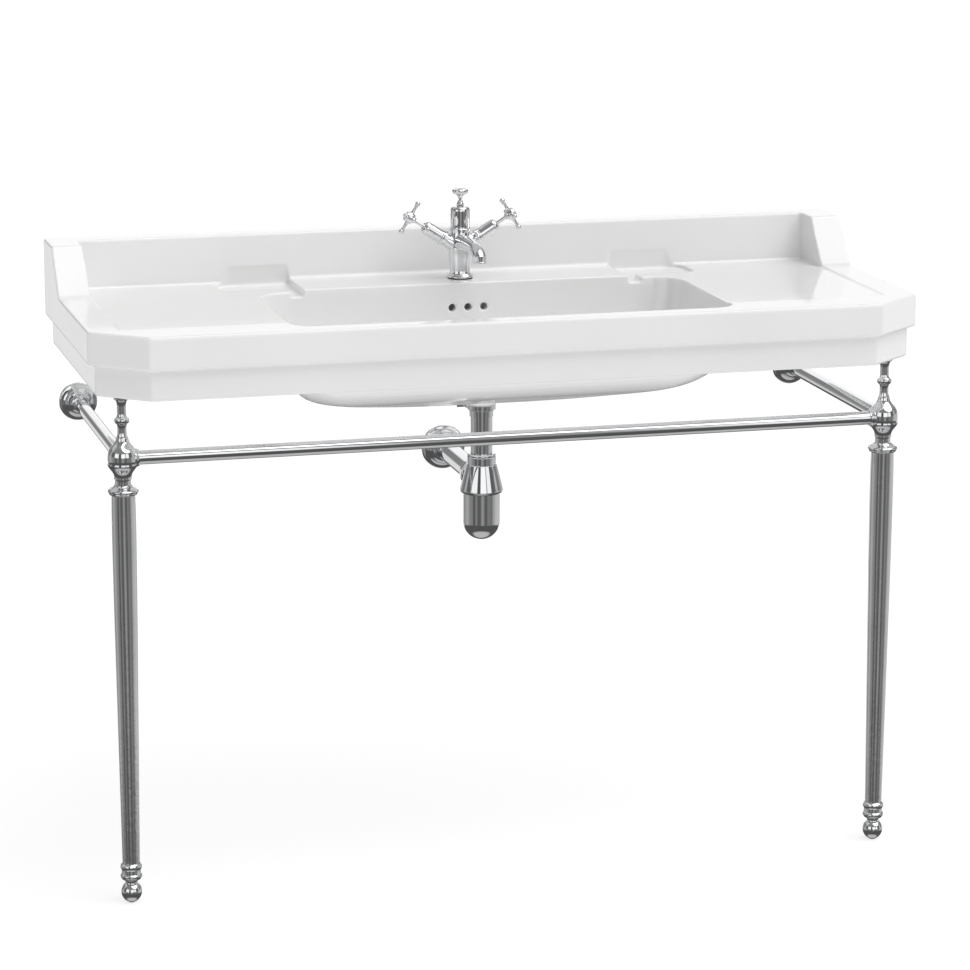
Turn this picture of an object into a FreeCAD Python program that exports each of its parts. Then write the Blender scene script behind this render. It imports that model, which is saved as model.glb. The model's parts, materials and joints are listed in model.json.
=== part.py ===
import FreeCAD, Part
import math
import os

V = FreeCAD.Vector
os.makedirs("parts", exist_ok=True)

# ---------------------------------------------------------------- driving dimensions (mm)
# frame: X across the front, wall plane at y = +DEPTH/2, front at y = -DEPTH/2, floor at z = 0
WIDTH = 1200.0            # overall width of the basin
DEPTH = 470.0             # wall to front edge
WALL = DEPTH / 2.0        # wall plane
# heights are working heights: everything above the legs is lowered by DROP when it is saved
DROP = 30.0
Z_SKIRT = 757.0           # underside of the lower skirt band
Z_BAND = 801.0            # step between the two skirt bands
Z_RIM = 848.0             # flat border, tap platform
Z_TOP = 914.0             # top of the upstand and ears
CH_X, CH_Y = 74.0, 63.0   # chamfered front corners
BAND_INSET = 10.4         # lower band set in from the upper band
T_SKIRT = 14.0            # china thickness of the skirt
T_DECK = 13.0             # china thickness of the deck
T_BOWL = 12.0             # china thickness of the bowl
UP_TOP, UP_BOT = 36.0, 47.0     # thickness of the back upstand at its top and at the deck
EAR_T, EAR_B = 45.0, 47.0       # thickness of the side ears at the top and at the deck
DISH_DEPTH, DISH_FRONT, DISH_X, DISH_Y = 3.0, 1.8, 555.0, 400.0   # recessed side decks: depth at the back and front

TAP_Y = WALL - 106.0      # tap hole centre
TAP_HOLE_R = 17.5
WASTE_Y = WALL - 230.0    # waste hole and trap axis
WASTE_HOLE_R = 17.6

LEG_X, LEG_Y = 555.0, WALL - 405.0    # leg axes
Z_BALL = 669.5            # centre of the corner balls and of all rails
RAIL_R, RAIL_IN = 9.75, 8.25

POP_TRAVEL = 24.0         # travel of the lift knob
LEVER_Z = 664.0           # height of the lever pivot
LEVER_Y0 = WASTE_Y + 22.0     # lever pivot
LEVER_OUT = 99.0          # pivot to lift strap
LEVER_IN = 22.0           # pivot to plug stem
LEVER_REST = -math.atan(3.5 / LEVER_OUT)      # at rest the strap end hangs 3.5 mm below the pivot

ARM_TILT = 32.0           # tap arms above the horizontal
ARM_Z = 892.0             # where the two arm axes meet the tap axis


# ---------------------------------------------------------------- helpers
def save(name, shape, drop=DROP):
    shapes = shape if isinstance(shape, list) else [shape]
    shapes = [placed(s, (0, 0, -drop)) for s in shapes]
    out = []
    for s in shapes:
        for so in s.Solids:
            if so.Volume > 1e-3:
                out.append(so)
    res = out[0] if len(out) == 1 else Part.makeCompound(out)
    res.exportStep("parts/%s.step" % name)
    bb = res.BoundBox
    print("%-26s n=%d vol=%.1f cm3 valid=%s  x[%.1f %.1f] y[%.1f %.1f] z[%.1f %.1f]" % (
        name, len(out), sum(o.Volume for o in out) / 1000.0, all(o.isValid() for o in out),
        bb.XMin, bb.XMax, bb.YMin, bb.YMax, bb.ZMin, bb.ZMax))
    return res


def cyl(r, z0, z1, x=0.0, y=0.0):
    return Part.makeCylinder(r, z1 - z0, V(x, y, z0), V(0, 0, 1))


def cyl_dir(r, p0, p1):
    d = V(*p1) - V(*p0)
    return Part.makeCylinder(r, d.Length, V(*p0), d)


def tube(ro, ri, z0, z1, x=0.0, y=0.0):
    return cyl(ro, z0, z1, x, y).cut(cyl(ri, z0 - 1, z1 + 1, x, y))


def box(x0, x1, y0, y1, z0, z1):
    return Part.makeBox(x1 - x0, y1 - y0, z1 - z0, V(x0, y0, z0))


def turned(groups, r_in=0.0):
    """Solid of revolution about Z. groups: ('L', pts) straight runs or ('S', pts) smooth runs of (r, z),
    from the lowest point to the highest, each group starting where the last one ended."""
    edges = []
    first = groups[0][1][0]
    last = groups[-1][1][-1]
    for kind, pts in groups:
        vs = [V(r, 0, z) for r, z in pts]
        if kind == 'S' and len(vs) > 2:
            c = Part.BSplineCurve()
            c.interpolate(vs)
            edges.append(c.toShape())
        else:
            for a, b in zip(vs[:-1], vs[1:]):
                if (b - a).Length > 1e-6:
                    edges.append(Part.makeLine(a, b))
    tail = [V(last[0], 0, last[1]), V(r_in, 0, last[1]), V(r_in, 0, first[1]), V(first[0], 0, first[1])]
    for a, b in zip(tail[:-1], tail[1:]):
        if (b - a).Length > 1e-6:
            edges.append(Part.makeLine(a, b))
    w = Part.Wire(Part.__sortEdges__(edges))
    f = Part.Face(w)
    s = f.revolve(V(0, 0, 0), V(0, 0, 1), 360)
    if s.ShapeType != "Solid":
        s = Part.makeSolid(s) if s.ShapeType == "Shell" else s.Solids[0]
    if s.Volume < 0:
        s.reverse()
    return s


def placed(shape, pos, axis=None, ang=0.0):
    s = shape.copy()
    if axis is not None:
        s.rotate(V(0, 0, 0), V(*axis), ang)
    s.translate(V(*pos))
    return s


def mirror_x(shape):
    return shape.mirror(V(0, 0, 0), V(1, 0, 0))


def round_wire(pts, radii, z):
    """Closed wire at height z through pts, each corner rounded with its radius."""
    n = len(pts)
    segs = []
    for i in range(n):
        p0 = V(pts[i - 1][0], pts[i - 1][1], z)
        p1 = V(pts[i][0], pts[i][1], z)
        p2 = V(pts[(i + 1) % n][0], pts[(i + 1) % n][1], z)
        r = radii[i]
        if r <= 0:
            segs.append((p1, None, p1))
            continue
        a = (p0 - p1).normalize()
        b = (p2 - p1).normalize()
        ang = a.getAngle(b)
        t = r / math.tan(ang / 2.0)
        s, e = p1 + a * t, p1 + b * t
        bis = (a + b).normalize()
        c = p1 + bis * (r / math.sin(ang / 2.0))
        m = c - bis * r
        segs.append((s, m, e))
    edges = []
    for i in range(n):
        s, m, e = segs[i]
        if m is not None:
            edges.append(Part.Arc(s, m, e).toShape())
        nxt = segs[(i + 1) % n][0]
        if (nxt - e).Length > 1e-6:
            edges.append(Part.makeLine(e, nxt))
    return Part.Wire(edges)


def prism(wire, h):
    return Part.Face(wire).extrude(V(0, 0, h))


def outline_pts(i):
    """Plan outline of the basin set in by i on the sides and front; the back stays on the wall."""
    c = math.hypot(CH_X, CH_Y)
    nx, ny = CH_Y / c, CH_X / c            # outward normal of the right chamfer is (nx, -ny)
    w, f = WIDTH / 2.0 - i, -WALL + i
    # chamfer line: nx*(x) - ny*(y) = k - i
    k = nx * (WIDTH / 2.0) - ny * (-WALL + CH_Y) - i
    y_at_side = (nx * w - k) / ny
    x_at_front = (k + ny * f) / nx
    return [(w, WALL), (-w, WALL), (-w, y_at_side), (-x_at_front, f), (x_at_front, f), (w, y_at_side)]


def outline(i, z, r_corner=7.0, r_back=0.0):
    pts = outline_pts(i)
    return round_wire(pts, [r_back, r_back, r_corner, r_corner, r_corner, r_corner], z)


def extrude_yz(pts, x0, x1):
    """Prism of a YZ polygon (y, z) between x0 and x1."""
    vs = [V(x0, y, z) for y, z in pts]
    vs.append(vs[0])
    return Part.Face(Part.makePolygon(vs)).extrude(V(x1 - x0, 0, 0))


def try_fillet(shape, r, pick, label):
    es = [e for e in shape.Edges if pick(e)]
    if not es:
        print("  fillet", label, "no edges")
        return shape
    try:
        s = shape.makeFillet(r, es)
        if s.isValid() and s.Volume > 0 and len(s.Solids) == 1:
            return s
        print("  fillet", label, "gave an invalid shape, left sharp")
    except Exception as ex:
        print("  fillet", label, "failed:", str(ex)[:60])
    return shape


def horizontal_at(z, tol=0.05):
    return lambda e: abs(e.BoundBox.ZMin - z) < tol and abs(e.BoundBox.ZMax - z) < tol


# ---------------------------------------------------------------- basin
# two-band skirt
upper = prism(outline(0.0, Z_BAND), Z_RIM - Z_BAND)
upper = try_fillet(upper, 3.5, lambda e: horizontal_at(Z_RIM)(e) and e.BoundBox.YMin < WALL - 1, "rim")
upper = try_fillet(upper, 3.0, lambda e: horizontal_at(Z_BAND)(e) and e.BoundBox.YMin < WALL - 1, "band")
lower = prism(outline(BAND_INSET, Z_SKIRT), Z_BAND - Z_SKIRT + 6.0)
lower = try_fillet(lower, 3.0, lambda e: horizontal_at(Z_SKIRT)(e) and e.BoundBox.YMin < WALL - 1, "skirt")
body = upper.fuse(lower)

# back upstand with a drafted face and rounded top
up = extrude_yz([(WALL, Z_RIM - 5), (WALL, Z_TOP), (WALL - UP_TOP, Z_TOP), (WALL - UP_BOT, Z_RIM),
                 (WALL - UP_BOT, Z_RIM - 5)], -WIDTH / 2.0, WIDTH / 2.0)


# side ears: flat top, 45 degree ramp, concave run-out on to the border
def ear():
    y_top, y_ramp, z_ramp, y_end = WALL - 80.0, WALL - 135.4, Z_RIM + 3.0, WALL - 147.0
    xo, xt, xb = WIDTH / 2.0, WIDTH / 2.0 - EAR_T, WIDTH / 2.0 - EAR_B
    a = V(0, y_top, Z_TOP)
    b = V(0, y_ramp, z_ramp)
    arc_mid = V(0, WALL - 141.0, Z_RIM + 0.76)
    end = V(0, y_end, Z_RIM)
    edges = [Part.makeLine(V(0, WALL, Z_RIM - 5), V(0, WALL, Z_TOP)),
             Part.makeLine(V(0, WALL, Z_TOP), a),
             Part.makeLine(a, b),
             Part.Arc(b, arc_mid, end).toShape(),
             Part.makeLine(end, V(0, y_end, Z_RIM - 5)),
             Part.makeLine(V(0, y_end, Z_RIM - 5), V(0, WALL, Z_RIM - 5))]
    e = Part.Face(Part.Wire(edges)).extrude(V(WIDTH / 2.0, 0, 0))
    # drafted inner face
    cutp = [V(0, -WALL, Z_RIM - 6), V(xb, -WALL, Z_RIM - 6), V(xb, -WALL, Z_RIM), V(xt, -WALL, Z_TOP),
            V(xt, -WALL, Z_TOP + 5), V(0, -WALL, Z_TOP + 5), V(0, -WALL, Z_RIM - 6)]
    inner = Part.Face(Part.makePolygon(cutp)).extrude(V(0, DEPTH + 10, 0))
    return e.cut(inner)


ear_r = ear()
ear_l = mirror_x(ear_r)
body = body.fuse([up, ear_r, ear_l]).removeSplitter()


def top_edge(e):
    b = e.BoundBox
    return b.ZMin > Z_TOP - 0.05 and not (b.YMin > WALL - 0.05)


def inner_corner(e):
    b = e.BoundBox
    return (b.ZMax > Z_TOP - 12 and b.ZMin < Z_RIM + 2 and abs(abs((b.XMin + b.XMax) / 2) - 556) < 6
            and abs((b.YMin + b.YMax) / 2 - (WALL - 41.5)) < 6)


body = try_fillet(body, 4.0, inner_corner, "ear corner")
body = try_fillet(body, 3.6, top_edge, "upstand top")


# recessed side decks: a shallow step all round, a little deeper at the upstand
def side_dish():
    y_back = WALL - UP_BOT + 0.6
    y_front = WALL - DISH_Y
    s = extrude_yz([(y_back, Z_RIM + 0.5), (y_back, Z_RIM - DISH_DEPTH), (y_front, Z_RIM - DISH_FRONT), (y_front, Z_RIM + 0.5)],
                   252.0, DISH_X)
    return s


dish_r = side_dish()
dish_l = mirror_x(dish_r)


# sunken soap tray and its drain channel
def soap():
    tray = prism(round_wire([(246, WALL - UP_BOT + 4.0), (362, WALL - UP_BOT + 4.0), (358, WALL - 121), (246, WALL - 121)],
                            [4, 30, 14, 4], Z_RIM - 11.0), 30)
    chan = prism(round_wire([(246, WALL - 100), (265, WALL - 100), (265, WALL - 175), (246, WALL - 175)],
                            [2, 2, 2, 2], Z_RIM - 11.0), 30)
    s = tray.fuse(chan)
    # floor falls slightly towards the bowl
    floor = extrude_yz([(WALL - 30, Z_RIM - 12), (WALL - 180, Z_RIM - 12), (WALL - 180, Z_RIM - 10.6), (WALL - 30, Z_RIM - 9.2)],
                       200, 400)
    return s.cut(floor)


soap_r = soap()
soap_l = mirror_x(soap_r)


def bowl_loft(rows):
    ws = []
    for z, hx, yb, yf, rb, rf in rows:
        pts = [(hx, WALL - yb), (-hx, WALL - yb), (-hx, WALL - yf), (hx, WALL - yf)]
        ws.append(round_wire(pts, [rb, rb, rf, rf], z))
    return Part.makeLoft(ws, True, False)


# the floor of the bowl falls from the front and the ends to the waste near the back
inner_rows = [(852.0, 319.0, 150.5, 437.5, 50, 30), (838.0, 316.5, 152.0, 435.5, 50, 30), (812.0, 312.0, 154.0, 431.5, 50, 32),
              (780.0, 304.0, 157.5, 424.0, 50, 36), (754.0, 291.0, 163.0, 407.0, 50, 42), (734.0, 268.0, 170.5, 376.0, 48, 46),
              (720.0, 236.0, 177.5, 336.0, 44, 46), (709.0, 190.0, 184.0, 302.0, 40, 42), (702.2, 140.0, 187.0, 284.0, 38, 38),
              (698.0, 78.0, 191.0, 271.0, 34, 34)]
outer_rows = [(839.0, 330.0, 139.5, 449.0, 60, 40), (800.0, 325.5, 142.0, 443.5, 60, 42), (768.0, 316.5, 145.5, 432.0, 60, 46),
              (742.0, 302.0, 150.5, 409.0, 58, 52), (721.0, 279.0, 157.5, 373.0, 54, 54), (708.5, 247.0, 164.5, 334.0, 48, 50),
              (699.5, 203.0, 171.5, 300.0, 44, 46), (693.0, 150.0, 178.5, 277.0, 38, 40), (689.0, 95.0, 184.0, 262.0, 32, 32)]
bowl_in = bowl_loft(inner_rows)
bowl_out = bowl_loft(outer_rows)
# waste boss under the bowl, tapering to a flat seat for the back nut
seat = placed(turned([('L', [(20.6, 683.0), (21.2, 683.5)]),
                      ('S', [(21.2, 683.5), (22.4, 685.2), (24.6, 687.4), (28.4, 689.8)]),
                      ('L', [(28.4, 689.8), (28.4, 698.0)])]), (0, WASTE_Y, 0))

# overflow duct behind and under the bowl
duct_out = extrude_yz([(WALL - 125, 826), (WALL - 125, 693), (WALL - 147, 684.5), (WALL - 218, 684.5),
                       (WALL - 218, 700), (WALL - 165, 720), (WALL - 160, 826)], -36, 36)
duct_in = extrude_yz([(WALL - 131, 820), (WALL - 131, 698), (WALL - 150, 689.0), (WALL - 214, 689.0),
                      (WALL - 214, 692.5), (WALL - 160, 692.5), (WALL - 146, 700), (WALL - 139, 720), (WALL - 138, 820)], -30, 30)

# hollow underside
cav = prism(outline(BAND_INSET + T_SKIRT, Z_SKIRT - 1, 9, 4), Z_RIM - T_DECK - Z_SKIRT + 1)
back_panel = box(-WIDTH, WIDTH, WALL - T_SKIRT, WALL + 20, Z_SKIRT - 5, Z_RIM)
cav = cav.cut(back_panel)
# leg seats at the front corners, tap boss under the platform, thicker deck under the soap trays
seats = [cyl(30.0, Z_SKIRT - 2, Z_RIM - 5, sx * LEG_X, LEG_Y) for sx in (-1, 1)]
cav = cav.cut(seats[0]).cut(seats[1])
under_tray = box(238, 372, WALL - 131, WALL, Z_RIM - 22.5, Z_RIM)
under_chan = box(236, 276, WALL - 182, WALL - 120, Z_RIM - 22.5, Z_RIM)
for b in (under_tray, under_chan):
    cav = cav.cut(b).cut(mirror_x(b))
cav = cav.cut(bowl_out).cut(duct_out)
# hollow of the upstand, open to the underside
up_cav = extrude_yz([(WALL - 13, Z_SKIRT + 40), (WALL - 13, Z_TOP - 13), (WALL - 24, Z_TOP - 13), (WALL - 34, Z_RIM - 2),
                     (WALL - 34, Z_RIM - T_DECK - 6), (WALL - T_SKIRT - 1, Z_RIM - T_DECK - 6)], -575.0, 575.0)
cav = cav.fuse(up_cav.cut(under_tray).cut(mirror_x(under_tray)))

belly = bowl_out.fuse([seat, duct_out.cut(box(-40, 40, WALL - 300, WALL, 833, 900))])
basin = body.fuse(belly)
basin = basin.cut(cav)
basin = basin.cut([dish_r, dish_l])
basin = basin.cut([soap_r, soap_l])
bowl_void = bowl_in.fuse(cyl(32.6, 695.0, 702.0, 0, WASTE_Y))
basin = basin.cut(bowl_void)
basin = basin.cut(duct_in)
# tap hole, waste hole with its rebate, three overflow holes, two wall-bolt holes
OVER_Z = Z_RIM - 36.0
cuts = [cyl(TAP_HOLE_R, 828.5, 870, 0, TAP_Y), cyl(WASTE_HOLE_R, 670, 696.0, 0, WASTE_Y)]
for dx in (-24.0, 0.0, 24.0):
    cuts.append(cyl_dir(5.5, (dx, WALL - 135, OVER_Z), (dx, WALL - 172, OVER_Z)))
WALL_BOLT_X, WALL_BOLT_Z = 140.0, 800.0
for sx in (-1, 1):
    cuts.append(cyl_dir(7.0, (sx * WALL_BOLT_X, WALL - 30, WALL_BOLT_Z), (sx * WALL_BOLT_X, WALL + 5, WALL_BOLT_Z)))
for c in cuts:
    basin = basin.cut(c)
    if not basin.isValid():
        print("  basin invalid after a cut at", c.BoundBox.Center, len(basin.Solids))
if len(basin.Solids) > 1:
    print("  basin pieces:", [round(s.Volume / 1000.0, 1) for s in basin.Solids])
    basin = max(basin.Solids, key=lambda s: s.Volume)
save("basin", basin)

# ---------------------------------------------------------------- washstand
# leg tube with slight entasis
tube_prof = [(12.1, 58.5), (12.8, 122), (13.5, 185), (14.1, 240), (14.7, 300), (15.35, 362), (15.95, 420), (16.4, 475),
             (16.7, 528), (16.75, 580), (16.35, 614.5)]
tube_prof = [(r, 58.5 + (z - 58.5) * (556.0 - DROP) / 556.0) for r, z in tube_prof]
leg_tube = turned([('S', tube_prof)]).cut(turned([('S', [(r - 1.5, z - 0.01) for r, z in tube_prof[:1]] +
                                                    [(r - 1.5, z) for r, z in tube_prof[1:-1]] +
                                                    [(tube_prof[-1][0] - 1.5, 614.51 - DROP)])]))

# turned collar between leg and corner ball
collar = turned([('L', [(16.35, 614.5), (16.25, 619.0), (17.6, 619.0)]),
                 ('S', [(17.6, 619.0), (19.3, 619.75), (19.9, 621.1)]),
                 ('L', [(19.9, 621.1), (19.6, 621.9)]),
                 ('S', [(19.6, 621.9), (21.3, 623.9), (20.6, 626.0), (17.2, 628.0), (13.9, 629.9), (12.6, 631.35)]),
                 ('L', [(12.6, 631.35), (12.3, 632.5), (11.1, 632.8)]),
                 ('S', [(11.1, 632.8), (10.9, 635.6), (10.9, 638.5), (11.2, 640.8)]),
                 ('L', [(11.2, 640.8), (12.3, 641.2), (12.3, 643.0)])])
collar = collar.fuse(turned([('L', [(14.75, 598.0), (14.8, 614.6)])]))       # spigot in the leg tube
collar = collar.cut(cyl(6.05, 626.0, 650.0))

# corner ball: bell below, ball, cone above, with sockets for the two rails
ball = turned([('L', [(12.0, 643.0), (12.1, 644.5)]),
               ('S', [(12.1, 644.5), (12.6, 647.0), (14.6, 651.2), (17.4, 655.0), (20.3, 659.2), (21.2, 661.6)]),
               ('L', [(21.2, 661.6), (20.9, 662.6), (19.6, 663.0)]),
               ('S', [(19.6, 663.0), (20.4, 666.0), (20.6, 669.5), (20.4, 674.0), (19.6, 678.5), (17.6, 682.9), (14.6, 686.9),
                      (11.4, 690.6), (9.2, 694.6), (8.2, 699.0)])])
ball = ball.fuse(cyl(6.0, 631.0, 644.0))                                     # stud into the collar
for d in ((1, 0), (0, 1)):
    nose = turned([('L', [(13.6, 0.0), (13.6, 16.0)]), ('S', [(13.6, 16.0), (13.2, 18.2), (11.9, 20.4), (11.7, 22.5)])])
    if d == (1, 0):
        nose = placed(nose, (0, 0, Z_BALL), (0, 1, 0), 90)
        bore = cyl_dir(RAIL_R + 0.05, (13.0, 0, Z_BALL), (30, 0, Z_BALL))
    else:
        nose = placed(nose, (0, 0, Z_BALL), (1, 0, 0), -90)
        bore = cyl_dir(RAIL_R + 0.05, (0, 13.0, Z_BALL), (0, 30, Z_BALL))
    ball = ball.fuse(nose)
    ball = ball.cut(bore)
ball = ball.cut(cyl(4.05, 688.0, 705.0))
# grub-screw holes from below
ball = ball.cut([cyl(2.05, 650.0, Z_BALL - 9.0, 18.5, 0), cyl(2.05, 650.0, Z_BALL - 9.0, 0, 18.5)])

# top spindle with its bead and flared head
spindle = turned([('L', [(8.1, 699.0)] + [(7.9, 699.4)]),
                  ('S', [(7.9, 699.4), (6.8, 702.0), (6.3, 705.5), (6.2, 711.0)]),
                  ('S', [(6.2, 711.0), (6.4, 715.6), (7.4, 718.0), (8.8, 719.2)]),
                  ('L', [(8.8, 719.2), (9.3, 719.8)]),
                  ('S', [(9.3, 719.8), (10.4, 722.2), (10.5, 723.4), (9.9, 725.2)]),
                  ('L', [(9.9, 725.2), (8.9, 726.0)]),
                  ('S', [(8.9, 726.0), (7.5, 727.4), (6.5, 730.0), (6.2, 733.5)]),
                  ('S', [(6.2, 733.5), (6.2, 741.5), (6.6, 747.0), (7.9, 750.6), (9.6, 752.0)]),
                  ('L', [(9.6, 752.0), (10.6, 752.4), (10.6, 754.8)])])
spindle = spindle.fuse(cyl(4.0, 690.0, 699.5))

# foot ferrule: two beads with a plain band between
ferrule = turned([('L', [(9.6, 33.2)]  + [(11.6, 33.6)]),
                  ('S', [(11.6, 33.6), (13.2, 34.6), (13.6, 35.8)]),
                  ('L', [(13.6, 35.8), (14.3, 36.6)]),
                  ('S', [(14.3, 36.6), (15.2, 38.2), (15.3, 39.8), (14.4, 41.6)]),
                  ('L', [(14.4, 41.6), (13.5, 42.4), (13.4, 48.4), (14.0, 49.2)]),
                  ('S', [(14.0, 49.2), (15.1, 51.4), (15.25, 53.4), (14.6, 55.6)]),
                  ('L', [(14.6, 55.6), (13.4, 56.6)]),
                  ('S', [(13.4, 56.6), (12.6, 57.4), (12.1, 58.5)])])
ferrule = ferrule.fuse(cyl(10.5, 58.4, 76.0))
ferrule = ferrule.cut(cyl(4.05, 30.0, 78.0))

# ball foot on its levelling stud
R_F = 14.6
foot_pts = []
for k in range(0, 13):
    a = math.radians(-74 + k * (128.0 / 12.0))
    foot_pts.append((R_F * math.cos(a), 16.0 + (16.0 / math.sin(math.radians(74)) * 0.9614) * math.sin(a)
                     if a < 0 else 16.0 + 14.6 * math.sin(a)))
foot_pts[0] = (foot_pts[0][0], 0.0)
z_top = foot_pts[-1][1]
foot = turned([('L', [(foot_pts[0][0] - 0.8, 0.0), foot_pts[0]]), ('S', foot_pts),
               ('L', [foot_pts[-1], (8.8, z_top + 0.4)]),
               ('S', [(8.8, z_top + 0.4), (8.5, 30.6), (8.9, 32.6)]),
               ('L', [(8.9, 32.6), (9.4, 33.0)])])
foot = foot.fuse(cyl(4.0, 32.9, 68.0))

# side rail and front rail (tubes)
side_rail = cyl_dir(RAIL_R, (0, 14.0, Z_BALL), (0, WALL - LEG_Y - 4.0, Z_BALL)).cut(
    cyl_dir(RAIL_IN, (0, 13.0, Z_BALL), (0, WALL - LEG_Y, Z_BALL)))
front_rail = cyl_dir(RAIL_R, (-LEG_X + 14.0, LEG_Y, Z_BALL), (LEG_X - 14.0, LEG_Y, Z_BALL)).cut(
    cyl_dir(RAIL_IN, (-LEG_X, LEG_Y, Z_BALL), (LEG_X, LEG_Y, Z_BALL)))

# wall bracket: plate with a spigot inside the rail, two screw holes
bracket = cyl(24.0, 0, 3.0).fuse(cyl(RAIL_IN - 0.05, 2.9, 26.0)).cut(cyl(4.0, -1, 30))
BR_SCREW = 17.5
bracket = bracket.cut([cyl(2.4, -1, 5, BR_SCREW, 0), cyl(2.4, -1, 5, -BR_SCREW, 0)])
# moulded rose covering it
rose = turned([('L', [(28.2, 0.0), (28.2, 2.6)]),
               ('S', [(28.2, 2.6), (27.8, 4.2), (26.4, 5.0)]),
               ('L', [(26.4, 5.0), (25.4, 5.2)]),
               ('S', [(25.4, 5.2), (21.6, 6.6), (18.6, 9.4), (17.4, 13.0)]),
               ('L', [(17.4, 13.0), (16.4, 13.6)]),
               ('S', [(16.4, 13.6), (16.9, 15.2), (16.0, 16.9)]),
               ('L', [(16.0, 16.9), (14.2, 17.6)]),
               ('S', [(14.2, 17.6), (12.6, 19.4), (12.0, 22.5), (11.9, 25.0)]),
               ('L', [(11.9, 25.0), (11.2, 25.6)])], RAIL_R + 0.06)
rose = rose.cut(turned([('L', [(26.6, -1.0), (26.6, 3.0)]), ('S', [(26.6, 3.0), (20.0, 5.6), (16.0, 9.0), (13.8, 12.0)])]))

def at(shape, sx):
    s = mirror_x(shape) if sx > 0 else shape.copy()
    s.translate(V(sx * LEG_X, LEG_Y, 0))
    return s


brackets, roses = [], []
for side, sx in (("left", -1.0), ("right", 1.0)):
    save(side + "_leg_tube", at(leg_tube, sx), 0.0)
    save(side + "_corner_ball", at(ball, sx))
    save(side + "_ball_foot", at(foot, sx), 0.0)
    save(side + "_side_rail", at(side_rail, sx))
    wall_at = (sx * LEG_X, WALL, Z_BALL)
    brackets.append(placed(bracket, wall_at, (1, 0, 0), 90))
    roses.append(placed(rose, wall_at, (1, 0, 0), 90))
save("leg_collars", [at(collar, sx) for sx in (-1, 1)])
save("top_spindles", [at(spindle, sx) for sx in (-1, 1)])
save("foot_ferrules", [at(ferrule, sx) for sx in (-1, 1)], 0.0)
save("wall_brackets", brackets)
save("rail_wall_roses", roses)
save("front_rail", front_rail)
save("basin_pads", [cyl(10.4, 754.8, Z_SKIRT, sx * LEG_X, LEG_Y) for sx in (-1, 1)])
grubs = []
for sx in (-1, 1):
    for dx, dy in ((-sx * 18.5, 0), (0, 18.5)):
        x, y = sx * LEG_X + dx, LEG_Y + dy
        grubs.append(cyl(1.95, Z_BALL - 12.6, Z_BALL - RAIL_R, x, y).cut(cyl(1.0, Z_BALL - 13, Z_BALL - 11.2, x, y)))
save("rail_grub_screws", grubs)

# ---------------------------------------------------------------- waste and trap
WZ = 698.0
waste = turned([('L', [(15.85, 598.0), (15.85, 665.0), (17.0, 665.0), (17.0, 695.6), (30.0, 695.6)]),
                ('S', [(30.0, 695.6), (31.9, 696.6), (31.4, 698.2), (28.0, 698.7)]),
                ('L', [(28.0, 698.7), (21.0, 698.3), (15.5, 694.8)])], 13.6)
waste = placed(waste, (0, WASTE_Y, 0))
# overflow slots in the waste body and the lever port at its rear
port = cyl_dir(8.6, (0, WASTE_Y + 12, LEVER_Z), (0, WASTE_Y + 27.5, LEVER_Z)).cut(
    cyl(14.0, 600, 700, 0, WASTE_Y))
waste = waste.fuse(port)
waste = waste.cut(cyl_dir(5.7, (0, WASTE_Y + 10, LEVER_Z), (0, WASTE_Y + 40, LEVER_Z)))
for sx in (-1, 1):
    waste = waste.cut(box(min(sx * 12, sx * 18), max(sx * 12, sx * 18), WASTE_Y - 4.5, WASTE_Y + 4.5, 687.0, 693.0))
save("waste_body", waste)
save("flange_seal", tube(29.0, 17.1, 695.0, 695.6, 0, WASTE_Y))
save("cone_washer", placed(turned([('L', [(18.9, 679.4), (19.3, 680.2), (19.3, 683.0)])], 17.1), (0, WASTE_Y, 0)))
nut = turned([('L', [(19.7, 674.9), (20.5, 675.6), (20.5, 681.9), (19.9, 682.6)])], 17.06).cut(cyl(19.4, 679.4, 690.0))
save("waste_back_nut", placed(nut, (0, WASTE_Y, 0)))

# lever: ball pivot in a nut screwed over the port
ball_nut = turned([('L', [(10.6, 0.0), (11.2, 0.6), (11.2, 8.4)]),
                   ('S', [(11.2, 8.4), (10.8, 9.6), (9.6, 10.2)]),
                   ('L', [(9.6, 10.2), (7.0, 10.5)])], 8.66).fuse(tube(8.7, 4.6, 6.8, 10.5))
ball_nut = placed(ball_nut, (0, WASTE_Y + 21.0, LEVER_Z), (1, 0, 0), -90)
save("lever_ball_nut", ball_nut)
deg_rest = math.degrees(LEVER_REST)
lev = cyl_dir(2.2, (0, LEVER_Y0 - LEVER_IN - 4.6, LEVER_Z), (0, LEVER_Y0 + LEVER_OUT + 12.0, LEVER_Z))
lev = lev.fuse(Part.makeSphere(5.1, V(0, LEVER_Y0, LEVER_Z)))
lev = lev.fuse(Part.makeSphere(2.75, V(0, LEVER_Y0 + LEVER_OUT + 12.0, LEVER_Z)))
lev.rotate(V(0, LEVER_Y0, LEVER_Z), V(1, 0, 0), deg_rest)
save("popup_lever", lev)
# the clip sits far enough out to clear the strap when the lever is fully raised
clip = cyl_dir(4.2, (0, LEVER_Y0 + LEVER_OUT + 4.6, LEVER_Z), (0, LEVER_Y0 + LEVER_OUT + 6.0, LEVER_Z)).cut(
    cyl_dir(2.2, (0, LEVER_Y0 + LEVER_OUT, LEVER_Z), (0, LEVER_Y0 + LEVER_OUT + 8, LEVER_Z)))
clip.rotate(V(0, LEVER_Y0, LEVER_Z), V(1, 0, 0), deg_rest)
save("lever_clip", clip)

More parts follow.
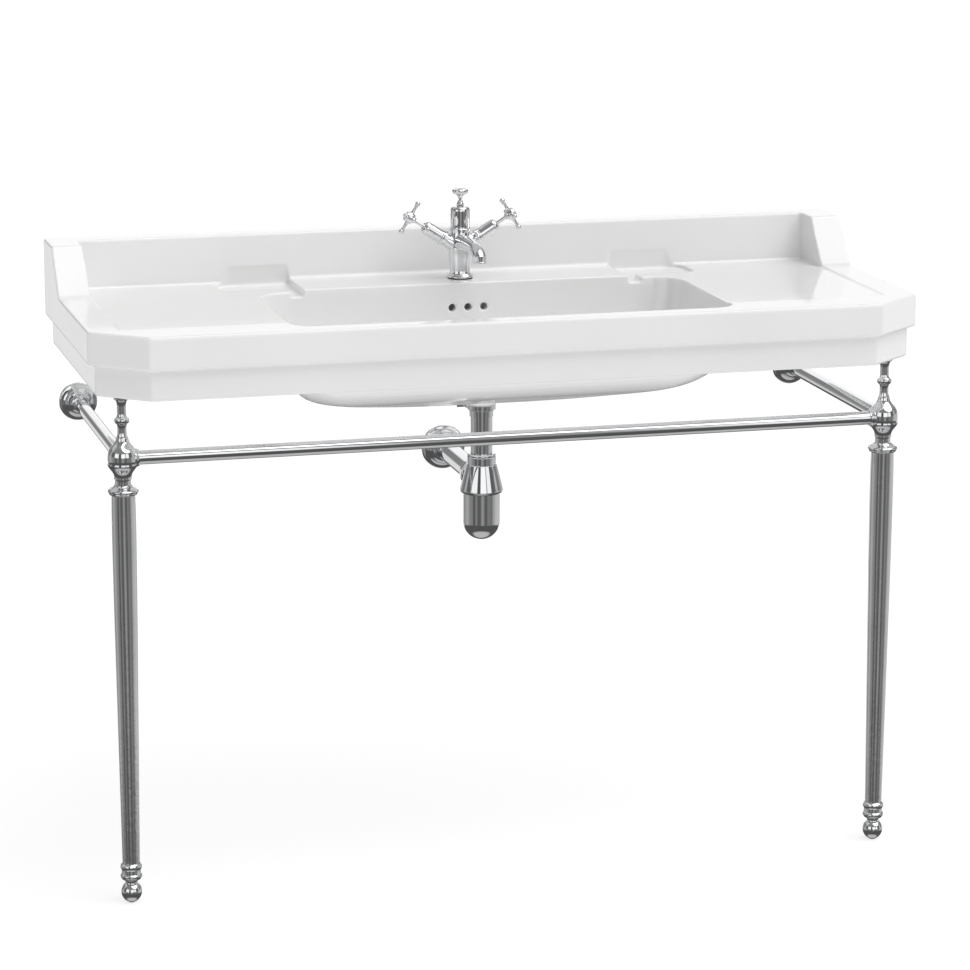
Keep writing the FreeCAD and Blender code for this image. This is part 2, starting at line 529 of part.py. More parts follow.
# plug, raised (open) at rest
eye_z = LEVER_Z + LEVER_IN * math.tan(-LEVER_REST)
LIFT = POP_TRAVEL * LEVER_IN / LEVER_OUT
plug = turned([('L', [(4.5, 690.0 + LIFT), (4.5, 696.9 + LIFT), (14.5, 696.9 + LIFT), (19.6, 699.4 + LIFT)]),
               ('S', [(19.6, 699.4 + LIFT), (20.4, 700.4 + LIFT), (19.8, 701.6 + LIFT)]),
               ('S', [(19.8, 701.6 + LIFT), (14.0, 703.4 + LIFT), (7.0, 704.5 + LIFT), (0.01, 704.8 + LIFT)])])
plug = placed(plug, (0, WASTE_Y, 0))
stem = cyl(4.5, eye_z + 9.0, 691.0 + LIFT, 0, WASTE_Y)
blade = box(-6.2, 6.2, WASTE_Y - 2.6, WASTE_Y + 2.6, eye_z - 8.0, eye_z + 15.0)
plug = plug.fuse([stem, blade]).cut(cyl_dir(3.2, (0, WASTE_Y - 10, eye_z), (0, WASTE_Y + 10, eye_z)))
save("popup_plug", plug)
pz = 696.9 + LIFT
save("plug_seal", placed(turned([('L', [(10.0, pz - 1.5), (14.2, pz - 1.5)]), ('S', [(14.2, pz - 1.5), (14.9, pz - 1.1), (14.45, pz - 0.05)])], 4.56),
                         (0, WASTE_Y, -0.08)))

# lift rod, strap and thumb screw
KNOB_Z = 965.5
rod = cyl(1.98, 700.0, KNOB_Z + 5.0, 0, TAP_Y)
save("lift_rod", rod)
knob = turned([('L', [(2.6, KNOB_Z)] + [(3.4, KNOB_Z + 0.3)]),
               ('S', [(3.4, KNOB_Z + 0.3), (3.7, KNOB_Z + 2.6), (5.2, KNOB_Z + 4.8), (8.2, KNOB_Z + 6.6)]),
               ('L', [(8.2, KNOB_Z + 6.6), (9.4, KNOB_Z + 7.4)]),
               ('S', [(9.4, KNOB_Z + 7.4), (11.4, KNOB_Z + 9.3), (11.9, KNOB_Z + 11.4), (11.5, KNOB_Z + 13.2)]),
               ('L', [(11.5, KNOB_Z + 13.2), (10.6, KNOB_Z + 14.0), (9.3, KNOB_Z + 14.0)]),
               ('S', [(9.3, KNOB_Z + 14.0), (7.6, KNOB_Z + 13.3), (4.0, KNOB_Z + 14.6), (0.01, KNOB_Z + 15.2)])])
knob = knob.cut(cyl(2.0, KNOB_Z - 1, KNOB_Z + 5.0))
save("lift_knob", placed(knob, (0, TAP_Y, 0)))
strap_z = LEVER_Z + LEVER_OUT * math.tan(LEVER_REST)
strap_y = LEVER_Y0 + LEVER_OUT
strap = box(-6.0, 6.0, strap_y - 1.0, strap_y + 1.0, strap_z - 6.6, 713.0)
sleeve = cyl(5.0, 701.0, 713.0, 0, TAP_Y)
strap = strap.fuse(sleeve).cut(cyl(2.03, 690.0, 720.0, 0, TAP_Y))
strap = strap.cut(cyl_dir(3.2, (0, strap_y - 5, strap_z), (0, strap_y + 5, strap_z)))
for k in range(1, 4):
    strap = strap.cut(cyl_dir(2.6, (0, strap_y - 5, strap_z + 10.0 * k), (0, strap_y + 5, strap_z + 10.0 * k)))
strap = strap.cut(cyl_dir(1.55, (0, TAP_Y - 12, 707.0), (0, TAP_Y - 1.0, 707.0)))
save("lift_strap", strap)
thumb = cyl_dir(1.5, (0, TAP_Y - 2.0, 707.0), (0, TAP_Y - 8.0, 707.0)).fuse(
    cyl_dir(4.5, (0, TAP_Y - 8.0, 707.0), (0, TAP_Y - 13.0, 707.0)))
save("strap_screw", thumb)

# bottle trap
inlet_nut = turned([('L', [(20.4, 593.5), (20.9, 594.2), (20.9, 604.6), (20.3, 605.4)]),
                    ('S', [(20.3, 605.4), (20.8, 606.6), (20.4, 608.4), (18.6, 609.6)])], 15.95)
inlet_nut = inlet_nut.cut(cyl(19.06, 593.0, 602.05))
save("trap_inlet_nut", placed(inlet_nut, (0, WASTE_Y, 0)))
trap_seals = [tube(18.95, 16.2, 600.0, 602.0, 0, WASTE_Y)]
shroud = turned([('L', [(27.6, 551.0), (30.2, 552.4), (31.4, 555.2), (31.3, 556.2)]),
                 ('S', [(31.3, 556.2), (28.9, 566.0), (26.2, 577.0), (23.9, 586.0), (22.0, 593.0)]),
                 ('L', [(22.0, 593.0), (21.6, 593.5), (19.0, 593.5), (19.0, 600.0)])])
cavity = turned([('L', [(26.85, 550.0), (26.85, 557.5), (25.0, 557.5)]),
                 ('S', [(25.0, 557.5), (23.4, 566.0), (21.0, 577.0), (19.0, 585.0)]),
                 ('L', [(19.0, 585.0), (15.0, 587.0), (15.0, 590.0), (16.1, 590.0), (16.1, 602.0)])])
shroud = shroud.cut(cavity)
outlet = cyl_dir(18.6, (0, 16.0, 571.0), (0, 42.0, 571.0)).cut(cyl(24.0, 540, 600))
outlet = outlet.fuse(cyl_dir(18.6, (0, 20.0, 571.0), (0, 42.0, 571.0)).cut(
    turned([('L', [(26.85, 545.0), (26.85, 557.5), (24.0, 560.0), (20.0, 582.0), (17.0, 600.0)])])))
shroud = shroud.fuse(outlet).cut(cyl(26.85, 540.0, 557.5))
shroud = shroud.cut(cyl_dir(12.5, (0, 8.0, 571.0), (0, 45.0, 571.0))).cut(cyl_dir(16.1, (0, 32.0, 571.0), (0, 45.0, 571.0)))
save("trap_shroud", placed(shroud, (0, WASTE_Y, 0)))
bottle = turned([('S', [(0.01, 481.0), (5.0, 481.45), (10.2, 483.0), (15.1, 485.6), (19.3, 489.2), (22.6, 493.4),
                        (25.0, 498.3), (26.3, 503.2), (26.7, 508.0)]),
                 ('L', [(26.7, 508.0), (26.7, 557.0)])])
bottle_in = turned([('S', [(0.01, 483.0), (5.0, 483.5), (9.8, 485.0), (14.2, 487.4), (18.0, 490.7), (21.0, 494.5),
                           (23.2, 499.0), (24.4, 503.5), (24.8, 508.0)]),
                    ('L', [(24.8, 508.0), (24.8, 558.0)])])
save("trap_bottle", placed(bottle.cut(bottle_in), (0, WASTE_Y, 0)))
trap_seals.append(placed(tube(26.7, 25.1, 557.0, 557.5), (0, WASTE_Y, 0)))
save("trap_seals", trap_seals)
dip = tube(13.4, 12.0, 512.0, 590.0).fuse(tube(15.9, 12.0, 590.0, 592.0))
save("dip_tube", placed(dip, (0, WASTE_Y, 0)))
onut = turned([('L', [(20.6, 0.0), (21.6, 0.9), (21.6, 11.0)]), ('S', [(21.6, 11.0), (21.0, 12.8), (18.6, 13.8)])], 16.1)
onut = onut.cut(cyl(18.66, -1.0, 8.0))
save("outlet_nut", placed(onut, (0, WASTE_Y + 34.0, 571.0), (1, 0, 0), -90))
save("outlet_arm", cyl_dir(16.0, (0, WASTE_Y + 32.0, 571.0), (0, WALL, 571.0)).cut(
    cyl_dir(14.6, (0, WASTE_Y, 571.0), (0, WALL + 10, 571.0))))
orose = turned([('L', [(33.6, 0.0), (33.6, 2.8)]),
                ('S', [(33.6, 2.8), (33.2, 4.6), (31.4, 5.4)]),
                ('L', [(31.4, 5.4), (30.2, 5.6)]),
                ('S', [(30.2, 5.6), (26.6, 7.2), (24.6, 10.2)]),
                ('L', [(24.6, 10.2), (23.4, 10.8)]),
                ('S', [(23.4, 10.8), (23.6, 13.4), (22.0, 16.6), (19.2, 18.6)]),
                ('L', [(19.2, 18.6), (17.4, 19.0)])], 16.06)
orose = orose.cut(turned([('L', [(31.6, -1.0), (31.6, 3.0)]), ('S', [(31.6, 3.0), (25.0, 5.4), (20.6, 9.0)])]))
save("outlet_rose", placed(orose, (0, WALL, 571.0), (1, 0, 0), 90))

# ---------------------------------------------------------------- tap
SEAL_T = 1.0
Z0 = Z_RIM + SEAL_T
col = turned([('L', [(18.4, Z0), (19.2, Z0 + 0.8), (19.2, Z0 + 2.2)]),
              ('S', [(19.2, Z0 + 2.2), (18.6, Z0 + 3.4), (16.9, Z0 + 5.2), (15.7, Z0 + 7.6)]),
              ('S', [(15.7, Z0 + 7.6), (15.3, Z0 + 13.0), (15.6, Z0 + 20.0), (16.5, Z0 + 28.0), (17.3, Z0 + 35.0),
                     (17.6, Z0 + 42.0), (17.2, Z0 + 50.0), (16.4, Z0 + 57.0), (15.2, Z0 + 63.0), (14.6, Z0 + 67.0)]),
              ('L', [(14.6, Z0 + 67.0), (14.6, 918.0)])])


def arm_frame(shape, sx):
    s = shape.copy()
    s.rotate(V(0, 0, 0), V(0, 1, 0), sx * (90.0 - ARM_TILT))
    s.translate(V(0, TAP_Y, ARM_Z))
    return s


arm = turned([('L', [(12.6, 0.0)] + [(12.6, 2.0)]),
              ('S', [(12.6, 2.0), (12.0, 12.0), (10.9, 20.0), (9.9, 26.0), (9.8, 28.4)]),
              ('L', [(9.8, 28.4), (11.4, 29.0), (11.8, 30.0), (11.8, 32.0), (11.3, 33.0)])])
bore = cyl(8.1, 24.0, 34.0).fuse(cyl(4.0, 4.0, 25.0))
tap = placed(col, (0, TAP_Y, 0))
for sx in (-1, 1):
    tap = tap.fuse(arm_frame(arm, sx))
for sx in (-1, 1):
    tap = tap.cut(arm_frame(bore, sx))
# waterway to the spout, rod bore, shank socket and inlet tails
tap = tap.cut(cyl_dir(5.6, (0, TAP_Y - 6.0, 903.5), (0, TAP_Y - 24.0, 903.5)))
tap = tap.cut(cyl(2.05, 840.0, 925.0, 0, TAP_Y))
tap = tap.cut(cyl(13.4, 840.0, Z0 + 16.0, 0, TAP_Y))
save("tap_body", tap)
save("tap_base_seal", tube(18.0, 16.1, Z_RIM, Z0, 0, TAP_Y))
TAIL_X, TAIL_R, TAIL_END_R = 7.9, 3.5, 4.0
save("tap_shank", tube(13.35, 12.1, 800.0, Z0 + 15.8, 0, TAP_Y).fuse(tube(13.35, 2.6, Z0 + 13.0, Z0 + 15.8, 0, TAP_Y)).cut(
    [cyl(TAIL_R + 0.05, 840, 900, -TAIL_X, TAP_Y), cyl(TAIL_R + 0.05, 840, 900, TAIL_X, TAP_Y)]))



def bent_rod(pts, bend, r):
    """Round bar of radius r along pts, each inner corner bent to the radius bend."""
    vs = [V(*p) for p in pts]
    edges, last_end = [], vs[0]
    for p0, p1, p2 in zip(vs[:-2], vs[1:-1], vs[2:]):
        a, b = (p0 - p1).normalize(), (p2 - p1).normalize()
        half = a.getAngle(b) / 2.0
        t = bend / math.tan(half)
        bis = (a + b).normalize()
        s, e = p1 + a * t, p1 + b * t
        m = p1 + bis * (bend / math.sin(half) - bend)
        edges += [Part.makeLine(last_end, s), Part.Arc(s, m, e).toShape()]
        last_end = e
    edges.append(Part.makeLine(last_end, vs[-1]))
    section = Part.Wire([Part.makeCircle(r, vs[0], vs[1] - vs[0])])
    s = Part.Wire(edges).makePipeShell([section], True, True)
    if s.Volume < 0:
        s.reverse()
    return s


# supply tails, splayed below the shank so that their ends stand clear of the waste arm
TAIL_OUT = 32.0
tails = []
for sx in (-1, 1):
    run = [(sx * TAIL_X, TAP_Y, 790.0), (sx * TAIL_OUT, TAP_Y, 790.0 - (TAIL_OUT - TAIL_X))]
    t = bent_rod([(sx * TAIL_X, TAP_Y, Z0 + 15.8)] + run + [(sx * TAIL_OUT, TAP_Y, 740.0)], 14.0, TAIL_R)
    t = t.fuse(cyl(TAIL_END_R, 740.0, 756.0, sx * TAIL_OUT, TAP_Y))
    tails.append(t.cut(bent_rod([(sx * TAIL_X, TAP_Y, Z0 + 18.0)] + run + [(sx * TAIL_OUT, TAP_Y, 738.0)], 14.0, 2.6)))
save("inlet_tails", tails)
save("deck_washer", tube(23.0, 13.5, Z_RIM - T_DECK - 3.0, Z_RIM - T_DECK, 0, TAP_Y))
save("clamp_washer", tube(22.0, 13.5, Z_RIM - T_DECK - 5.0, Z_RIM - T_DECK - 3.0, 0, TAP_Y))
hexa = Part.Face(Part.makePolygon([V(18.4 * math.cos(math.radians(60 * k)), TAP_Y + 18.4 * math.sin(math.radians(60 * k)),
                                     Z_RIM - T_DECK - 15.0) for k in range(7)])).extrude(V(0, 0, 10.0))
save("tap_back_nut", hexa.cut(cyl(13.42, 800, 850, 0, TAP_Y)))


# spout: level, then a tight quarter bend down to the nozzle
def ring(y, z, r, ang):
    """Circle whose normal is the forward direction (-y) turned down by ang degrees."""
    n = V(0, -math.cos(math.radians(ang)), -math.sin(math.radians(ang)))
    return Part.Wire([Part.makeCircle(r, V(0, y, z), n)])


SP = 113.0
rings = [(10.0, 902.0, 12.4, -6), (24.0, 903.3, 12.0, -4), (42.0, 904.3, 11.2, -2), (62.0, 904.8, 10.6, 0),
         (82.0, 904.3, 10.2, 3), (96.0, 902.9, 9.9, 12), (105.0, 899.8, 9.7, 32), (110.8, 895.2, 9.6, 60), (SP, 889.0, 9.6, 88)]
sp = Part.makeLoft([ring(TAP_Y - d, z, r, a) for d, z, r, a in rings], True, False)
if sp.Volume < 0:
    sp.reverse()
sp = sp.cut(tap.fuse(cyl(14.0, 870, 921, 0, TAP_Y)))
sp = max(sp.Solids, key=lambda s: s.Volume)
# nozzle sleeve with flow insert
NZ0, NZ1 = 887.5, 898.5
noz_y = TAP_Y - SP
sp = sp.cut(cyl(10.35, NZ0 - 5, NZ1, 0, noz_y))
sp = max(sp.Solids, key=lambda s: s.Volume)
way = Part.makeLoft([ring(TAP_Y - d, z, r, a) for d, z, r, a in
                     [(10.0, 902.6, 6.0, -6), (42.0, 904.3, 6.0, -2), (82.0, 904.3, 6.0, 3), (97.0, 902.4, 6.0, 14), (106.5, 897.8, 6.0, 40), (110.8, 892.0, 6.0, 70)]], True, False)
sp = sp.cut(way)
sp = max(sp.Solids, key=lambda s: s.Volume)
save("spout", sp)
noz = turned([('L', [(9.4, NZ0), (10.2, NZ0 + 0.8), (10.2, NZ0 + 2.4), (9.9, NZ0 + 2.8), (9.9, NZ0 + 3.6), (10.3, NZ0 + 4.0), (10.3, NZ1)])], 8.4)
save("spout_nozzle", placed(noz, (0, noz_y, 0)))
ins = cyl(8.35, NZ0 + 1.2, NZ0 + 5.2)
holes = [cyl(0.8, NZ0, NZ0 + 6, rr * math.cos(t), rr * math.sin(t)) for rr, n in ((3.0, 6), (6.0, 10))
         for t in [2 * math.pi * k / n for k in range(n)]]
save("flow_insert", placed(ins.cut(holes), (0, noz_y, 0)))

# centre column above the body
cshroud = turned([('L', [(15.0, 918.0), (15.6, 918.7), (15.6, 921.4), (14.7, 922.2), (14.3, 923.4)]),
                  ('S', [(14.3, 923.4), (14.25, 936.0), (14.2, 947.0), (13.9, 950.0), (12.6, 952.6), (9.8, 954.0)]),
                  ('L', [(9.8, 954.0), (5.4, 954.6)])], 4.05)
cshroud = cshroud.cut(cyl(12.2, 917.0, 950.0))
save("centre_shroud", placed(cshroud, (0, TAP_Y, 0)))
guide = turned([('L', [(4.0, 946.0), (4.0, 954.7), (5.2, 954.7), (5.2, 956.6)]),
                ('S', [(5.2, 956.6), (4.9, 958.6), (4.1, 960.2), (3.6, 962.6)]),
                ('L', [(3.6, 962.6), (3.0, 963.4)])], 2.05)
save("rod_guide", placed(guide, (0, TAP_Y, 0)))

save("valve_cartridges", [arm_frame(tube(8.0, 2.85, 24.2, 62.0), sx) for sx in (-1, 1)])
bonnets = []
for name, sx in (("hot", -1), ("cold", 1)):
    bon = turned([('L', [(11.0, 33.0), (11.4, 33.6), (11.4, 35.2), (10.5, 35.8)]),
                  ('S', [(10.5, 35.8), (10.3, 46.0), (10.1, 56.0), (9.9, 59.6), (9.0, 62.6), (7.4, 64.4)]),
                  ('L', [(7.4, 64.4), (6.2, 64.9), (5.4, 65.8)])], 2.95)
    bon = bon.cut(cyl(8.06, 32.0, 62.0))
    bonnets.append(arm_frame(bon, sx))
    spi = cyl(2.8, 30.0, 92.0)
    save(name + "_spindle", arm_frame(spi, sx))
    hub = turned([('L', [(3.6, 80.5)] + [(4.3, 81.0)]),
                  ('S', [(4.3, 81.0), (4.6, 82.6), (6.0, 84.0)]),
                  ('L', [(6.0, 84.0), (7.6, 84.8)]),
                  ('S', [(7.6, 84.8), (8.4, 88.0), (8.5, 90.6), (8.3, 93.4), (7.2, 95.6)]),
                  ('L', [(7.2, 95.6), (6.9, 96.8), (6.3, 97.2)])])
    armsh = turned([('L', [(3.3, 5.0)] + [(3.3, 7.0)]), ('S', [(3.3, 7.0), (2.5, 11.0), (2.1, 15.0), (2.3, 18.6)]),
                    ('L', [(2.3, 18.6), (3.1, 19.1), (3.1, 19.9), (2.5, 20.4)])])
    tip = Part.makeSphere(3.9, V(0, 0, 23.6))
    one = armsh.fuse(tip)
    arms = []
    for k in range(4):
        a = placed(one, (0, 0, 0), (1, 0, 0), 90)       # along -y
        a.rotate(V(0, 0, 0), V(0, 0, 1), 90.0 * k)
        a.translate(V(0, 0, 90.2))
        arms.append(a)
    head = hub.fuse(arms).cut(cyl(2.84, 79.0, 92.2)).cut(cyl(5.06, 95.9, 99.0))
    save(name + "_cross_head", arm_frame(head, sx))
    idx = turned([('L', [(5.0, 95.9), (5.0, 97.0)]), ('S', [(5.0, 97.0), (4.4, 98.1), (2.6, 98.8), (0.01, 99.0)])])
    save(name + "_index", arm_frame(idx, sx))

save("valve_bonnets", bonnets)
print("nodes:", len([f for f in os.listdir("parts") if f.endswith(".step")]))
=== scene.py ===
import bpy
import json
import math
from mathutils import Matrix, Vector


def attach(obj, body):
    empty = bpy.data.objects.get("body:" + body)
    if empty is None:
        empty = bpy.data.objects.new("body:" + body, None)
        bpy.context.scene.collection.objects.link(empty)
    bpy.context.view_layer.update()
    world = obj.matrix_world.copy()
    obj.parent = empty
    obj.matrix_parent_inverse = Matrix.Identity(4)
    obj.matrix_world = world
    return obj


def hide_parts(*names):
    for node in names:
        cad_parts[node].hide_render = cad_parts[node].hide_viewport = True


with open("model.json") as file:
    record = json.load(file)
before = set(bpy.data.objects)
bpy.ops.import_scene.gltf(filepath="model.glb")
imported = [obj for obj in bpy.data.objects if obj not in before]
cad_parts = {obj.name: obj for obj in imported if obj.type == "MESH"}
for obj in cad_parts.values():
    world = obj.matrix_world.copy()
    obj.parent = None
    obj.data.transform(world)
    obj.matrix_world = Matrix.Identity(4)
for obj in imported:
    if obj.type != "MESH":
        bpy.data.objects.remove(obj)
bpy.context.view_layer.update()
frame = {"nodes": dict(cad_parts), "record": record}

nodes = frame["nodes"]
scene = bpy.context.scene
scene.view_settings.view_transform = "Standard"
scene.view_settings.look = "None"

# ---------------------------------------------------------------- camera
# no shift: the same camera data serves every other view
SIDE = 970.0
F_PX = 3619.2
AZ, PITCH, ROLL = math.radians(-14.89), math.radians(12.91), math.radians(0.09)
fwd = Vector((-math.sin(AZ) * math.cos(PITCH), math.cos(AZ) * math.cos(PITCH), -math.sin(PITCH)))
right = Vector((math.cos(AZ), math.sin(AZ), 0.0))
right = (right * math.cos(ROLL) + right.cross(fwd) * math.sin(ROLL)).normalized()
up = right.cross(fwd).normalized()
cam_data = bpy.data.cameras.new("camera")
cam_data.sensor_width = 36.0
cam_data.lens = F_PX / SIDE * 36.0
cam_data.clip_start, cam_data.clip_end = 0.05, 200.0
cam = bpy.data.objects.new("camera", cam_data)
scene.collection.objects.link(cam)
rot = Matrix((right, up, -fwd)).transposed()
cam.matrix_world = Matrix.Translation((-1.3189, -4.9757, 1.7125)) @ rot.to_4x4()
scene.camera = cam


# ---------------------------------------------------------------- material helpers
class Mat:
    def __init__(self, name):
        self.m = bpy.data.materials.new(name)
        self.m.use_nodes = True
        self.nt = self.m.node_tree
        self.b = self.nt.nodes["Principled BSDF"]
        self.tc = self.nt.nodes.new("ShaderNodeTexCoord")

    def set(self, **kw):
        for k, v in kw.items():
            self.b.inputs[k.replace("_", " ")].default_value = v
        return self

    def noise(self, scale, detail=3.0, rough=0.5, stretch=None):
        n = self.nt.nodes.new("ShaderNodeTexNoise")
        n.inputs["Scale"].default_value = scale
        n.inputs["Detail"].default_value = detail
        n.inputs["Roughness"].default_value = rough
        src = self.tc.outputs["Object"]
        if stretch:
            mp = self.nt.nodes.new("ShaderNodeMapping")
            mp.inputs["Scale"].default_value = stretch
            self.nt.links.new(src, mp.inputs["Vector"])
            src = mp.outputs["Vector"]
        self.nt.links.new(src, n.inputs["Vector"])
        return n.outputs["Fac"]

    def ramp(self, fac, a, b, lo=0.3, hi=0.7):
        r = self.nt.nodes.new("ShaderNodeValToRGB")
        r.color_ramp.elements[0].position, r.color_ramp.elements[1].position = lo, hi
        r.color_ramp.elements[0].color = (*a, 1.0)
        r.color_ramp.elements[1].color = (*b, 1.0)
        self.nt.links.new(fac, r.inputs["Fac"])
        return r.outputs["Color"]

    def span(self, fac, lo, hi):
        r = self.nt.nodes.new("ShaderNodeMapRange")
        r.inputs["From Min"].default_value, r.inputs["From Max"].default_value = 0.3, 0.7
        r.inputs["To Min"].default_value, r.inputs["To Max"].default_value = lo, hi
        self.nt.links.new(fac, r.inputs["Value"])
        return r.outputs["Result"]

    def link(self, out, socket):
        self.nt.links.new(out, self.b.inputs[socket])
        return self

    def bump(self, layers):
        prev = None
        for fac, strength, dist in layers:
            n = self.nt.nodes.new("ShaderNodeBump")
            n.inputs["Strength"].default_value = strength
            n.inputs["Distance"].default_value = dist
            self.nt.links.new(fac, n.inputs["Height"])
            if prev is not None:
                self.nt.links.new(prev, n.inputs["Normal"])
            prev = n.outputs["Normal"]
        self.nt.links.new(prev, self.b.inputs["Normal"])
        return self


def glazed_china():
    k = Mat("glazed_china")
    k.set(IOR=1.52, Coat_Weight=0.2, Coat_Roughness=0.03, Coat_IOR=1.5)
    k.link(k.ramp(k.noise(5.0, 4.0), (0.845, 0.846, 0.842), (0.872, 0.873, 0.871)), "Base Color")
    k.link(k.span(k.noise(22.0, 3.0), 0.06, 0.11), "Roughness")
    k.bump([(k.noise(14.0, 2.0), 0.05, 0.0015), (k.noise(420.0, 2.0), 0.03, 0.00008)])
    return k.m


def polished_chrome():
    k = Mat("polished_chrome")
    k.set(Metallic=1.0)
    k.link(k.ramp(k.noise(18.0, 3.0), (0.73, 0.735, 0.75), (0.79, 0.795, 0.805)), "Base Color")
    k.link(k.span(k.noise(60.0, 3.0), 0.03, 0.06), "Roughness")
    k.bump([(k.noise(12.0, 1.0), 0.02, 0.0003), (k.noise(900.0, 2.0), 0.01, 0.00001)])
    return k.m


def turned_brass():
    k = Mat("turned_brass")
    k.set(Metallic=1.0)
    k.link(k.ramp(k.noise(25.0, 5.0), (0.66, 0.49, 0.22), (0.80, 0.63, 0.33)), "Base Color")
    k.link(k.span(k.noise(80.0, 4.0, stretch=(1, 1, 14)), 0.20, 0.38), "Roughness")
    k.bump([(k.noise(120.0, 2.0, stretch=(1, 1, 16)), 0.12, 0.0001)])
    return k.m


def bright_steel():
    k = Mat("bright_steel")
    k.set(Metallic=1.0)
    k.link(k.ramp(k.noise(30.0, 4.0), (0.50, 0.51, 0.53), (0.66, 0.67, 0.69)), "Base Color")
    k.link(k.span(k.noise(140.0, 4.0), 0.22, 0.42), "Roughness")
    k.bump([(k.noise(700.0, 3.0), 0.10, 0.00005)])
    return k.m


def black_rubber():
    k = Mat("black_rubber")
    k.link(k.ramp(k.noise(90.0, 5.0), (0.018, 0.018, 0.019), (0.045, 0.045, 0.044)), "Base Color")
    k.link(k.span(k.noise(200.0, 4.0), 0.55, 0.8), "Roughness")
    k.bump([(k.noise(1500.0, 3.0), 0.25, 0.00006)])
    return k.m


def moulded_plastic():
    k = Mat("moulded_plastic")
    k.set(IOR=1.46)
    k.link(k.ramp(k.noise(40.0, 3.0), (0.76, 0.76, 0.745), (0.84, 0.84, 0.83)), "Base Color")
    k.link(k.span(k.noise(120.0, 3.0), 0.35, 0.5), "Roughness")
    k.bump([(k.noise(1200.0, 2.0), 0.12, 0.00004)])
    return k.m


MATS = {"white_china": glazed_china(), "polished_chrome": polished_chrome(), "plain_brass": turned_brass(),
        "bright_steel": bright_steel(), "black_rubber": black_rubber(), "white_plastic": moulded_plastic()}
slot_of = {s["node"]: s["material_slot"] for s in frame["record"]["subparts"]}


for name, o in nodes.items():
    mat = MATS[slot_of[name]]
    if not o.material_slots:
        o.data.materials.append(mat)
    for s in o.material_slots:
        s.material = mat


# ---------------------------------------------------------------- basin with its fired, glazed edges
def glazed_basin():
    src = nodes["basin"]
    o = bpy.data.objects.new("basin_glazed", src.data.copy())
    scene.collection.objects.link(o)
    bpy.context.view_layer.objects.active = o
    for other in bpy.context.selected_objects:
        other.select_set(False)
    o.select_set(True)
    weld = o.modifiers.new("weld", "WELD")
    weld.merge_threshold = 0.00002
    rm = o.modifiers.new("remesh", "REMESH")
    rm.mode, rm.voxel_size = "VOXEL", 0.0018
    rm.use_smooth_shade = True
    sm = o.modifiers.new("smooth", "SMOOTH")
    sm.factor, sm.iterations = 0.5, 4
    for m in ("weld", "remesh", "smooth"):
        bpy.ops.object.modifier_apply(modifier=m)
    o.data.materials.clear()
    o.data.materials.append(MATS["white_china"])
    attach(o, "washstand")
    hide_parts("basin")
    return o


glazed_basin()

# ---------------------------------------------------------------- studio: pale floor, soft even light
fl = bpy.data.meshes.new("studio_floor")
R, N = 60.0, 96
ring = [(R * math.cos(2 * math.pi * k / N), R * math.sin(2 * math.pi * k / N), 0.0) for k in range(N)]
fl.from_pydata(ring, [], [list(range(N))])
floor = bpy.data.objects.new("studio_floor", fl)
scene.collection.objects.link(floor)
kf = Mat("pale_floor")
kf.link(kf.ramp(kf.noise(0.6, 2.0), (0.30, 0.30, 0.30), (0.31, 0.31, 0.31)), "Base Color")
kf.link(kf.span(kf.noise(3.0, 2.0), 0.75, 0.85), "Roughness")
# a lit sheet, as on a product table, so that it stays near white under the basin
kf.set(Emission_Color=(1.0, 1.0, 1.0, 1.0), Emission_Strength=0.75, Specular_IOR_Level=0.0)
fl.materials.append(kf.m)
floor.visible_glossy = False

world = bpy.data.worlds.new("studio")
scene.world = world
world.use_nodes = True
wn, wl = world.node_tree.nodes, world.node_tree.links
wn.clear()
out = wn.new("ShaderNodeOutputWorld")
tc = wn.new("ShaderNodeTexCoord")
sep = wn.new("ShaderNodeSeparateXYZ")
wl.new(tc.outputs["Generated"], sep.inputs[0])
at2 = wn.new("ShaderNodeMath")
at2.operation = "ARCTAN2"
wl.new(sep.outputs["Y"], at2.inputs[0])
wl.new(sep.outputs["X"], at2.inputs[1])
mr = wn.new("ShaderNodeMapRange")
mr.inputs["From Min"].default_value, mr.inputs["From Max"].default_value = -math.pi, math.pi
wl.new(at2.outputs[0], mr.inputs["Value"])
# a dark room seen only in reflections: soft steps of grey below eye level, window-like softboxes in front
# above it, and a pale backdrop behind
LOW = [(0.00, 0.28), (0.045, 0.24), (0.075, 0.10), (0.09, 0.10), (0.105, 0.26), (0.13, 0.24), (0.15, 0.13), (0.195, 0.13),
       (0.215, 0.34), (0.25, 0.32), (0.27, 0.13), (0.305, 0.13), (0.325, 0.24), (0.375, 0.22), (0.395, 0.18), (0.42, 0.30),
       (0.45, 0.50), (0.52, 0.60), (0.60, 0.62), (0.66, 0.40), (0.70, 0.30), (0.75, 0.20), (0.77, 0.85), (0.80, 0.85),
       (0.82, 0.20), (0.88, 0.40), (0.93, 0.48), (1.00, 0.28)]
HIGH = [(0.00, 0.14), (0.045, 0.14), (0.055, 1.15), (0.14, 1.15), (0.15, 0.10), (0.192, 0.10), (0.20, 1.25), (0.284, 1.25),
        (0.288, 0.35), (0.298, 0.35), (0.303, 1.15), (0.36, 1.15), (0.37, 0.12), (0.44, 0.16), (0.45, 0.60), (0.48, 0.60),
        (0.50, 0.20), (0.56, 0.30), (0.64, 0.30), (0.655, 1.10), (0.765, 1.10), (0.78, 0.25), (0.86, 0.30), (0.90, 0.14),
        (0.93, 0.50), (0.95, 0.50), (0.97, 0.14), (1.00, 0.14)]
CANOPY = [(0.00, 0.26), (0.50, 0.26), (0.58, 0.62), (0.92, 0.62), (1.00, 0.26)]


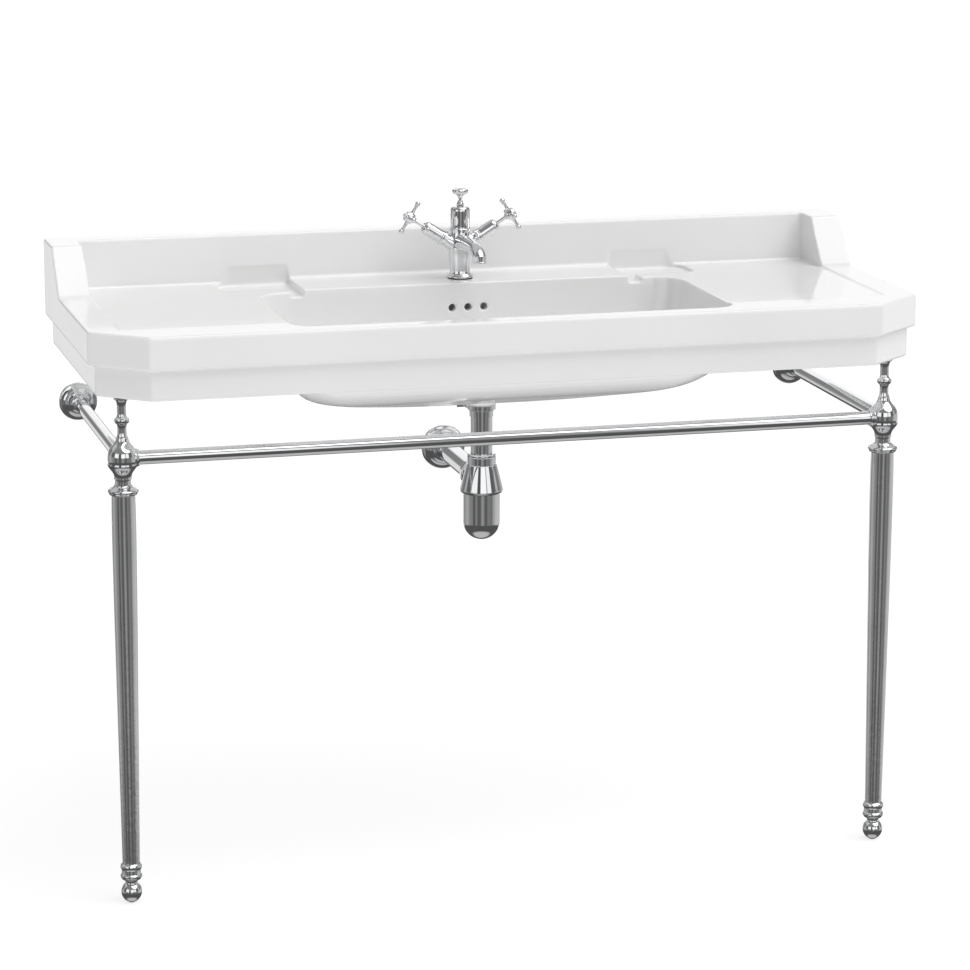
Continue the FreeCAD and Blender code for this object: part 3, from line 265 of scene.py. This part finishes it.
def around(stops):
    r = wn.new("ShaderNodeValToRGB")
    els = r.color_ramp.elements
    els[0].position, els[0].color = stops[0][0], (stops[0][1],) * 3 + (1,)
    els[1].position, els[1].color = stops[-1][0], (stops[-1][1],) * 3 + (1,)
    for p, v in stops[1:-1]:
        els.new(p).color = (v, v, v, 1)
    wl.new(mr.outputs["Result"], r.inputs["Fac"])
    return r.outputs["Color"]


# by height: low steps, windows, canopy, ceiling; dark ground further down, and a paler one straight below
sky = around(LOW)
for z0, z1, layer in ((-0.06, -0.01, around(HIGH)), (0.42, 0.50, around(CANOPY)), (0.88, 0.95, 0.50),
                      (-0.30, -0.38, 0.10), (-0.80, -0.90, 0.58)):
    mask = wn.new("ShaderNodeMapRange")
    mask.inputs["From Min"].default_value, mask.inputs["From Max"].default_value = z0, z1
    wl.new(sep.outputs["Z"], mask.inputs["Value"])
    mix = wn.new("ShaderNodeMix")
    mix.data_type = "RGBA"
    wl.new(mask.outputs["Result"], mix.inputs["Factor"])
    wl.new(sky, mix.inputs["A"])
    if isinstance(layer, float):
        mix.inputs["B"].default_value = (layer, layer, layer, 1)
    else:
        wl.new(layer, mix.inputs["B"])
    sky = mix.outputs["Result"]
gloss = wn.new("ShaderNodeBackground")
wl.new(sky, gloss.inputs["Color"])
gloss.inputs["Strength"].default_value = 1.0
soft = wn.new("ShaderNodeBackground")
soft.inputs["Color"].default_value = (1.0, 1.0, 1.0, 1)
soft.inputs["Strength"].default_value = 0.50
lp = wn.new("ShaderNodeLightPath")
ms = wn.new("ShaderNodeMixShader")
wl.new(lp.outputs["Is Glossy Ray"], ms.inputs["Fac"])
wl.new(soft.outputs[0], ms.inputs[1])
wl.new(gloss.outputs[0], ms.inputs[2])
wl.new(ms.outputs[0], out.inputs["Surface"])


def sun(name, direction, strength, angle):
    d = bpy.data.lights.new(name, "SUN")
    d.energy, d.angle = strength, math.radians(angle)
    o = bpy.data.objects.new(name, d)
    o.rotation_mode = "QUATERNION"
    o.rotation_quaternion = Vector(direction).to_track_quat("Z", "Y")
    scene.collection.objects.link(o)
    return o


sun("key", (0.24, -0.18, 0.55), 1.79, 60)
